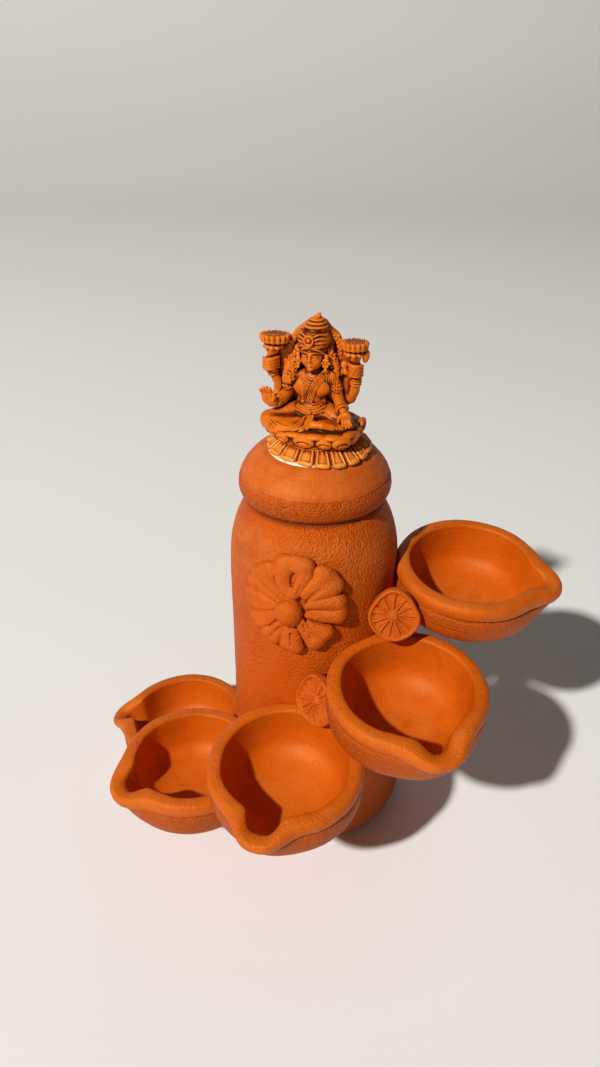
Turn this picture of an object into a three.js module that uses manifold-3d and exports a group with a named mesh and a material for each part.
// Fired-clay oil-lamp tower. A wheel-thrown hollow jar with a flared foot and a thick rolled
// collar carries five pinched lamp bowls that step down around it like a spiral stair. A
// hand-pressed flower and two slotted clay buttons decorate the wall, and a moulded seated
// four-armed goddess on a lotus seat stands on a petalled plinth over the mouth.
// Millimetres, +Z up the jar's axis, origin at the centre of the flat foot, front facing -Y.
import * as THREE from "three";
import { mergeVertices } from "three/addons/utils/BufferGeometryUtils.js";
import Module from "manifold-3d";

const wasm = await Module();
wasm.setup();

// ---- driving dimensions ----
const GAP = 0.35; // clearance between neighbouring pieces, filled by slip when fired
const JAR_R = 41.5; // outside of the straight wall
const JAR_WALL = 6.5; // wall thickness
const FOOT_R = 50; // flared foot
const FLOOR_T = 8; // thickness of the jar's floor
const SHOULDER_Z = 155; // the wall starts to turn in
const NECK_R = 32.2;
const NECK_Z = 183.6;
const COLLAR_R = 35.8; // thick rolled collar
const COLLAR_Z = 191.5;
const COLLAR_TOP = 208; // flat ring that carries the plinth
const MOUTH_R = 14; // mouth, under the plinth
const BOWL_FOOT = 0.384; // radius of the flat underside, share of the bowl's radius
const RIM_W = 7; // width of the rounded rim
const LIP_POW = 2.56;
// rim centre, direction of the spout and tilts in degrees, radius, depth from rim to underside;
// the pinched spout stands out by `reach` and dips by `drop` (shares of the radius) over the
// half angle `half` in radians
const BOWLS = [
  { n: 1, x: 76.2, y: 10.4, z: 152.6, yaw: -1.9, dip: 3.7, roll: 6.4, r: 36.2, depth: 31.4, reach: 0.205, drop: 0.03, half: 0.32 },
  { n: 2, x: 57.7, y: -48.3, z: 119.6, yaw: -56.1, dip: 6.0, roll: 2.1, r: 36.5, depth: 34.5, reach: 0.181, drop: 0.101, half: 0.35 },
  { n: 3, x: 8.4, y: -76.2, z: 84.5, yaw: -90.8, dip: 6.4, roll: 0.2, r: 36.2, depth: 32, reach: 0.225, drop: 0.04, half: 0.315 },
  { n: 4, x: -46.6, y: -59.4, z: 56.9, yaw: -133.3, dip: -0.3, roll: 0.5, r: 35.5, depth: 31.1, reach: 0.213, drop: 0.101, half: 0.365 },
  { n: 5, x: -75.2, y: -7.8, z: 31.2, yaw: -172.6, dip: 1.8, roll: -0.7, r: 36.1, depth: 30.5, reach: 0.223, drop: 0.138, half: 0.25 },
];
const FLOWER_Z = 145; // centre height of the applied flower
const BOSS_R = 7.6;
const PETAL_H = 5.2; // how far a petal stands off the wall
const PETAL_IN = 4.5; // petals start under the boss
// direction on the wall (degrees, 0 to the right, 90 up), reach from the centre, half width
const PETALS = [
  [86, 30.5, 8.4], [42, 29.5, 7.8], [4, 26.4, 7.4], [-41, 24.8, 7.6], [-86, 25.4, 8.0],
  [-125, 23.2, 5.4], [-150, 24.6, 5.2], [-173, 26.4, 5.2], [162, 26.6, 5.4], [132, 26.4, 6.4],
];
const DISC_T = 5.2; // slotted buttons, thickness
// centre, compass direction and upward tilt of the face in degrees, radius
const DISCS = [
  { n: 1, x: 45.9, y: -24.6, z: 138.4, az: -80, el: 14, r: 12.4 },
  { n: 2, x: 16.2, y: -49.2, z: 99.4, az: -122, el: 14, r: 12.4 },
];
const PLINTH_R = 24.6; // petalled plinth at its base
const PLINTH_X = 1.6; // it stands a little off the jar's axis
const PLINTH_H = 4.8;
const GLUE_H = 0.5;
const FIGURE_YAW = 4; // the figure looks slightly off the flower's direction, degrees
const SEAT_X = 22.2; // half width of the lotus seat
const SEAT_Y = 17.6; // half depth of the lotus seat

const group = new THREE.Group();
const RAD = Math.PI / 180;
const clay = (hex, rough = 0.88) => new THREE.MeshStandardMaterial({ color: hex, roughness: rough, metalness: 0 });

// ---- helpers ----
function solid(geo) {
  const g = geo.index ? geo.toNonIndexed() : geo.clone();
  g.deleteAttribute("normal");
  g.deleteAttribute("uv");
  const m = mergeVertices(g, 1e-4);
  return new wasm.Manifold(
    new wasm.Mesh({
      numProp: 3,
      vertProperties: new Float32Array(m.attributes.position.array),
      triVerts: new Uint32Array(m.index.array),
    }),
  );
}
function largest(s) {
  return s.decompose().sort((a, b) => b.volume() - a.volume())[0];
}
function geometryOf(s) {
  const m = s.getMesh();
  const g = new THREE.BufferGeometry();
  const v = new Float32Array(m.numVert * 3);
  for (let i = 0; i < m.numVert; i++) v.set(m.vertProperties.subarray(i * m.numProp, i * m.numProp + 3), i * 3);
  g.setAttribute("position", new THREE.BufferAttribute(v, 3));
  g.setIndex(new THREE.BufferAttribute(new Uint32Array(m.triVerts), 1));
  g.computeVertexNormals();
  return g;
}
function add(name, geo, mat) {
  const mesh = new THREE.Mesh(geo, mat);
  mesh.name = name;
  group.add(mesh);
  return mesh;
}
// profile of [r, z] points from the axis back to the axis, turned about Z
function turned(points, segs = 48) {
  const g = new THREE.LatheGeometry(points.map(([r, z]) => new THREE.Vector2(r, z)), segs);
  g.rotateX(Math.PI / 2);
  return g;
}
function ellipsoid(cx, cy, cz, rx, ry, rz, w = 10, h = 7) {
  const g = new THREE.SphereGeometry(1, w, h);
  g.scale(rx, ry, rz);
  g.translate(cx, cy, cz);
  return g;
}
// rounded limb between two points
function limb(a, b, ra, rb, w = 7) {
  const A = new THREE.Vector3(...a), B = new THREE.Vector3(...b);
  const L = A.distanceTo(B);
  const pts = [[0, -ra], [ra * 0.75, -ra * 0.65], [ra, 0], [rb, L], [rb * 0.75, L + rb * 0.65], [0, L + rb]];
  const g = new THREE.LatheGeometry(pts.map(([r, y]) => new THREE.Vector2(r, y)), w);
  g.applyQuaternion(new THREE.Quaternion().setFromUnitVectors(new THREE.Vector3(0, 1, 0), B.clone().sub(A).normalize()));
  g.translate(A.x, A.y, A.z);
  return g;
}

// ---- jar ----
const outside = [
  [0, 0], [FOOT_R - 1.5, 0], [FOOT_R, 1.8], [FOOT_R - 0.4, 6], [FOOT_R - 2.2, 16], [FOOT_R - 5, 32], [FOOT_R - 7.6, 50],
  [JAR_R + 0.1, 68], [JAR_R, 90], [JAR_R, SHOULDER_Z - 8], [JAR_R - 0.4, SHOULDER_Z], [JAR_R - 1.5, SHOULDER_Z + 9], [JAR_R - 3.4, SHOULDER_Z + 16],
  [JAR_R - 6.4, SHOULDER_Z + 23], [NECK_R + 1.0, NECK_Z - 2.2], [NECK_R, NECK_Z - 0.4], [NECK_R + 0.8, NECK_Z + 1.2], [COLLAR_R - 0.7, COLLAR_Z - 4.2],
  [COLLAR_R, COLLAR_Z], [COLLAR_R - 0.8, COLLAR_Z + 4.2], [COLLAR_R - 2.8, COLLAR_Z + 8.6], [COLLAR_R - 5.8, COLLAR_Z + 12.4],
  [COLLAR_R - 8.2, COLLAR_TOP - 1], [COLLAR_R - 9.8, COLLAR_TOP],
];
const IN_R = JAR_R - JAR_WALL;
const inside = [
  [MOUTH_R + 1.5, COLLAR_TOP], [MOUTH_R, COLLAR_TOP - 2], [MOUTH_R, COLLAR_Z], [MOUTH_R + 4, NECK_Z], [IN_R - 7, SHOULDER_Z + 17], [IN_R - 1.5, SHOULDER_Z + 6],
  [IN_R, SHOULDER_Z - 5], [IN_R, FLOOR_T + 8], [IN_R - 3, FLOOR_T + 1.5], [IN_R - 8, FLOOR_T], [0, FLOOR_T],
];
add("jar_body", turned([...outside, ...inside], 40), clay(0xc9602a));

// solid that removes whatever would reach into the jar, grown by the clearance
const jarGrown = solid(
  turned([[0, -20], [FOOT_R + GAP, -20], [FOOT_R + GAP, 6], ...outside.slice(4, 16).map(([r, z]) => [r + GAP, z]), [COLLAR_R + GAP, NECK_Z + 2], [COLLAR_R + GAP, 230], [0, 230]], 44),
);

// ---- lamp bowls: round bowl with a rolled rim, pinched into one pouring lip ----
function bowlGeometry({ r: R, depth: D, reach, drop, half }, grow = 0, solidFill = false) {
  const F = D - 6.2; // depth of the hollow
  // [radius, height, share of the spout that this ring follows]
  const out = [
    [R * BOWL_FOOT, -D, 0], [R * 0.61, -D * 0.935, 0.01], [R * 0.762, -D * 0.82, 0.03], [R * 0.905, -D * 0.71, 0.08], [R * 0.98, -D * 0.56, 0.2],
    [R * 0.995, -D * 0.4, 0.38], [R * 0.995, -9.2, 0.66], [R * 0.975, -6.6, 0.92], [R, -4.2, 1], [R, -2.0, 1], [R - 2.2, 0, 1],
  ].map(([r, z, s]) => [r + grow, z + (z > -1 ? grow : z < -D + 1 ? -grow : 0), s]);
  const inn = solidFill
    ? []
    : [[R - RIM_W + 1.2, -0.3, 1], [R - RIM_W - 0.6, -3.2, 0.95], [R - RIM_W - 1.4, -9, 0.7], [R - RIM_W - 2.6, -F * 0.6, 0.4], [R * 0.66, -F * 0.8, 0.2], [R * 0.46, -F * 0.95, 0.04], [R * 0.22, -F, 0]];
  const rings = [...out, ...inn];
  const N = 30, pos = [], idx = [];
  for (const [r0, z0, s] of rings)
    for (let i = 0; i < N; i++) {
      // finer steps round the spout
      const t = i / N;
      const phi = 2 * Math.PI * (t - (0.62 * Math.sin(2 * Math.PI * t)) / (2 * Math.PI));
      const p = phi > Math.PI ? phi - 2 * Math.PI : phi;
      const g = Math.exp(-Math.pow(Math.abs(p) / half, LIP_POW)) * s;
      const r = r0 + R * reach * g;
      pos.push(r * Math.cos(p), r * Math.sin(p), z0 - R * drop * g);
    }
  const bottom = pos.length / 3;
  pos.push(0, 0, rings[0][1]);
  pos.push(0, 0, rings[rings.length - 1][1]);
  for (let j = 0; j < rings.length - 1; j++)
    for (let i = 0; i < N; i++) {
      const k = (i + 1) % N, a = j * N + i, b = j * N + k, c = a + N, d = b + N;
      idx.push(a, b, d, a, d, c);
    }
  for (let i = 0; i < N; i++) {
    const k = (i + 1) % N, top = (rings.length - 1) * N;
    idx.push(bottom, k, i, bottom + 1, top + i, top + k);
  }
  const g = new THREE.BufferGeometry();
  g.setAttribute("position", new THREE.BufferAttribute(new Float32Array(pos), 3));
  g.setIndex(idx);
  return g;
}
function place(g, b) {
  g.rotateY(b.dip * RAD); // spout dips
  g.rotateX(b.roll * RAD);
  g.rotateZ(b.yaw * RAD);
  g.translate(b.x, b.y, b.z);
  return g;
}
const bowls = [];
for (const b of BOWLS) {
  let s = solid(place(bowlGeometry(b), b)).subtract(jarGrown);
  // a lower bowl is pressed against the one above it
  for (const up of bowls) s = s.subtract(up.grown);
  bowls.push({ b, s: largest(s), grown: solid(place(bowlGeometry(b, GAP, true), b)) });
}
for (const { b, s } of bowls) add("lamp_bowl_" + b.n, geometryOf(s), clay(0xcf6a32));

// ---- wads of luting clay that wedge the raised bowls to the jar, under the belly;
// the lowest bowl stands on the table against the flared foot ----
const wads = [];
for (const { b } of bowls.slice(0, 4)) {
  const a = Math.atan2(b.y, b.x);
  const zc = b.z - 0.76 * b.depth;
  const g = ellipsoid(0, 0, 0, 8, 14, 8.5, 14, 10);
  g.rotateZ(a);
  g.translate((JAR_R + 3.2) * Math.cos(a), (JAR_R + 3.2) * Math.sin(a), zc);
  let s = solid(g).subtract(jarGrown);
  for (const o of bowls) s = s.subtract(o.grown);
  s = largest(s);
  wads.push(s);
  add("luting_wad_" + b.n, geometryOf(s), clay(0xb9562a));
}

// ---- applied flower: petals pressed on one after another round a domed boss ----
const petals = [];
for (const [deg, reach, half] of PETALS) {
  const a = (90 - deg) * RAD;
  const make = (g) => {
    const long = (reach - PETAL_IN) / 2, ring = (reach + PETAL_IN) / 2;
    const e = ellipsoid(0, 0, 0, half + g, PETAL_H + g, long + g, 10, 7);
    e.rotateY(a);
    const u = ring * Math.sin(a), w = ring * Math.cos(a);
    // wrap the petal onto the round wall
    const t = u / JAR_R;
    e.rotateZ(t);
    e.translate((JAR_R + 0.4) * Math.sin(t), -(JAR_R + 0.4) * Math.cos(t), FLOWER_Z + w);
    return solid(e);
  };
  let s = make(0).subtract(jarGrown);
  for (const p of petals) s = s.subtract(p.grown);
  petals.push({ s, grown: make(GAP) });
}
const bossCut = solid(ellipsoid(0, -JAR_R - 1.6, FLOWER_Z, BOSS_R + GAP, 6.8 + GAP, BOSS_R + GAP, 16, 10));
petals.forEach((p, i) => {
  add("flower_petal_" + String(i + 1).padStart(2, "0"), geometryOf(largest(p.s.subtract(bossCut))), clay(0xc8622e));
});
add("flower_boss", geometryOf(largest(solid(ellipsoid(0, -JAR_R - 1.6, FLOWER_Z, BOSS_R, 6.8, BOSS_R, 16, 10)).subtract(jarGrown))), clay(0xc8622e));

// ---- slotted buttons: coins of clay with a raised edge, bridging wall and bowl ----
for (const d of DISCS) {
  const pts = [[0, -DISC_T / 2], [d.r - 2, -DISC_T / 2], [d.r, -DISC_T / 2 + 1.6], [d.r, DISC_T / 2 - 1.2], [d.r - 1, DISC_T / 2], [d.r - 2.2, DISC_T / 2], [d.r - 3, DISC_T / 2 - 1], [2.8, DISC_T / 2 - 1], [2.2, DISC_T / 2], [0, DISC_T / 2 + 0.2]];
  const g = turned(pts, 24);
  g.rotateX(Math.PI / 2); // face towards -Y, long axis up
  g.rotateX(d.el * RAD * -1);
  g.rotateZ((d.az + 90) * RAD);
  g.translate(d.x, d.y, d.z);
  let s = solid(g).subtract(jarGrown);
  for (const o of bowls) s = s.subtract(o.grown);
  for (const w of wads) s = s.subtract(w);
  add("slotted_button_" + d.n, geometryOf(largest(s)), clay(0xcc6a38));
}

// ---- petalled plinth, on a bead of white glue ----
const GZ = COLLAR_TOP + GAP;
const PZ = GZ + GLUE_H + 0.3;
const TOP = COLLAR_TOP + 6; // upper side of the plinth
{
  const g = turned([[PLINTH_R - 4, GZ], [PLINTH_R + 0.4, GZ], [PLINTH_R + 0.8, GZ + 0.25], [PLINTH_R + 0.2, GZ + GLUE_H], [PLINTH_R - 4, GZ + GLUE_H], [PLINTH_R - 4, GZ]], 36);
  g.translate(PLINTH_X, 0, 0);
  add("glue_bead", g, clay(0xe8dcc4, 0.5));
}
{
  const R = PLINTH_R;
  const g = turned([[0, PZ], [R - 0.5, PZ], [R, PZ + 0.7], [R - 1.4, PZ + 2.2], [R - 5.4, TOP - 0.5], [R - 6.4, TOP], [0, TOP]], 36);
  g.translate(PLINTH_X, 0, 0);
  add("lotus_plinth", g, clay(0xdb9238, 0.55));
}

// ---- seated goddess with lotus seat and back arch, one moulded casting ----
{
  const z = TOP + GAP;
  const seat = turned([[0, z], [0.84, z], [1, z + 3], [1.0, z + 5], [0.93, z + 7.4], [0.8, z + 8.4], [0, z + 8.4]], 28);
  seat.scale(SEAT_X, SEAT_Y, 1);
  seat.translate(-0.7, -1.8, 0);
  const parts = [
    seat,
    // back slab and arch
    ellipsoid(-1.1, 5.6, z + 30.4, 12.4, 3.0, 22, 16, 12),
    ellipsoid(-1, 5.2, z + 15, 13, 3.2, 11, 14, 10),
    // crossed legs and the upturned foot
    limb([-4, 0, z + 10.6], [-19.4, -6.6, z + 8.6], 5.6, 4.2),
    limb([2.5, 0, z + 10.6], [15.6, -6.6, z + 8.3], 5.6, 3.9),
    limb([-18.8, -7.4, z + 8.4], [-3, -12.2, z + 8.2], 4.2, 3.0),
    limb([15.8, -7.6, z + 7.6], [1, -12.6, z + 7.2], 3.7, 2.6),
    ellipsoid(6, -12.2, z + 10.2, 5.8, 2.0, 2.1),
    // body, neck, head, crown
    ellipsoid(-2, -0.4, z + 16.6, 7.2, 6, 7.6),
    ellipsoid(-2, -0.6, z + 25.4, 9.2, 6, 7.2),
    limb([-1.6, 0, z + 30], [-1.4, -1, z + 36], 3.2, 3.0),
    ellipsoid(-1.2, -1.7, z + 37.8, 5.5, 5.9, 6.6),
    ellipsoid(-1.3, -0.6, z + 44.2, 7.4, 6.8, 5.6),
    limb([-0.5, -0.2, z + 48], [-0.1, 0.2, z + 53.2], 4.7, 1.9),
    // hair on the shoulders
    limb([-8.4, 0.4, z + 38], [-12.2, -1.6, z + 27.5], 2.0, 2.6),
    limb([5.8, 0.4, z + 38], [8.8, -0.2, z + 29.8], 2.0, 1.8),
    // raised back arms, fists and blooms
    limb([-9, 3, z + 28], [-15.2, 3, z + 18.8], 2.9, 2.5),
    limb([-15.2, 3, z + 18.8], [-20.2, 1, z + 28], 2.6, 2.1),
    ellipsoid(-20.6, 0.4, z + 31.6, 3.6, 3.4, 3.6),
    limb([-20.2, 0.5, z + 33], [-19.4, 0.4, z + 41], 3.0, 3.6),
    ellipsoid(-19.0, 0.4, z + 43.3, 6.5, 5.6, 3.0, 12, 8),
    limb([7, 3, z + 28.4], [15.2, 3, z + 17.4], 2.9, 2.5),
    limb([15.2, 3, z + 17.4], [17.6, 1, z + 27], 2.6, 2.1),
    ellipsoid(17.0, 0.4, z + 31.6, 3.4, 3.4, 3.6),
    limb([17.0, 0.5, z + 33], [16.6, 0.4, z + 40.4], 3.0, 3.6),
    ellipsoid(16.4, 0.4, z + 42.7, 6.0, 5.4, 3.0, 12, 8),
    // front arms and hands
    limb([-10.2, -0.3, z + 27.6], [-13.2, 0.2, z + 19.8], 2.9, 2.5),
    limb([-13.2, 0.2, z + 19.8], [-17.6, -7.4, z + 17.8], 2.6, 2.2),
    ellipsoid(-19.6, -9.2, z + 20.6, 3.0, 2.1, 4.6),
    limb([7.2, -0.3, z + 28.4], [9.6, -0.8, z + 20.2], 2.9, 2.5),
    limb([9.6, -0.8, z + 20.2], [13.2, -7.4, z + 16.8], 2.6, 2.1),
    ellipsoid(15.2, -10.6, z + 13.6, 3.0, 2.1, 3.8),
  ];
  let s = null;
  for (const p of parts) {
    const m = solid(p);
    s = s ? s.add(m) : m;
  }
  const g = geometryOf(largest(s));
  g.rotateZ(FIGURE_YAW * RAD);
  add("seated_goddess", g, clay(0xd27a34, 0.7));
}

export default group;
